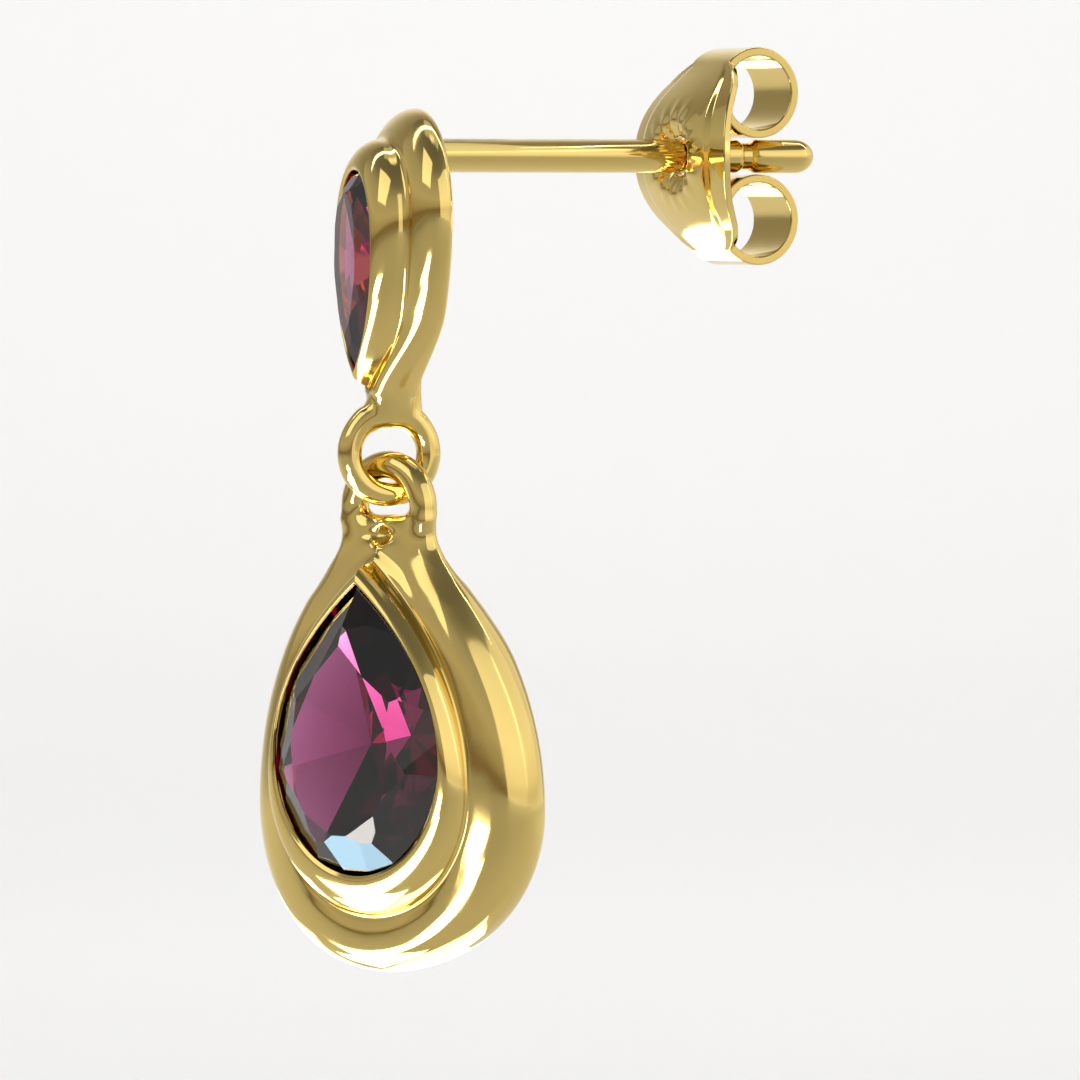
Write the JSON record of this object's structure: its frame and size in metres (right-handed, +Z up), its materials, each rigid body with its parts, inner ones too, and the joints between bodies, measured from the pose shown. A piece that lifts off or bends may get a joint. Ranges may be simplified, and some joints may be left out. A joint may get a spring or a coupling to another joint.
{
  "type": "drop earring",
  "caption": "Drop earring: pear-cut stone in a rolled stud setting, larger pear-cut drop hanging from a fixed ring by its bail, butterfly back on the post.",
  "frame": {"origin": "on the post's axis, where the post leaves the flat back of the stud setting", "axes": "+Z up, the stones face -Y, the post runs along +Y through the ear, +X completes the right-handed frame"},
  "size_m": [0.0069, 0.0132, 0.0218],
  "materials": {
    "gold": "polished",
    "stone": "polished facets"
  },
  "bodies": {
    "stud": {"stud_setting": "gold", "stud_stone": "stone"},
    "drop": {"drop_setting": "gold", "drop_stone": "stone"},
    "back": {"butterfly_back": "gold"}
  },
  "joints": [
    {"name": "drop_swing", "type": "hinge", "parent": "stud", "child": "drop", "pos_m": [0, -0.00084, -0.00702], "axis": [1, 0, 0], "range_deg": [-135, 100]},
    {"name": "back_slide", "type": "slide", "parent": "stud", "child": "back", "axis": [0, 1, 0], "range_m": [-0.0055, 0.0036]}
  ]
}
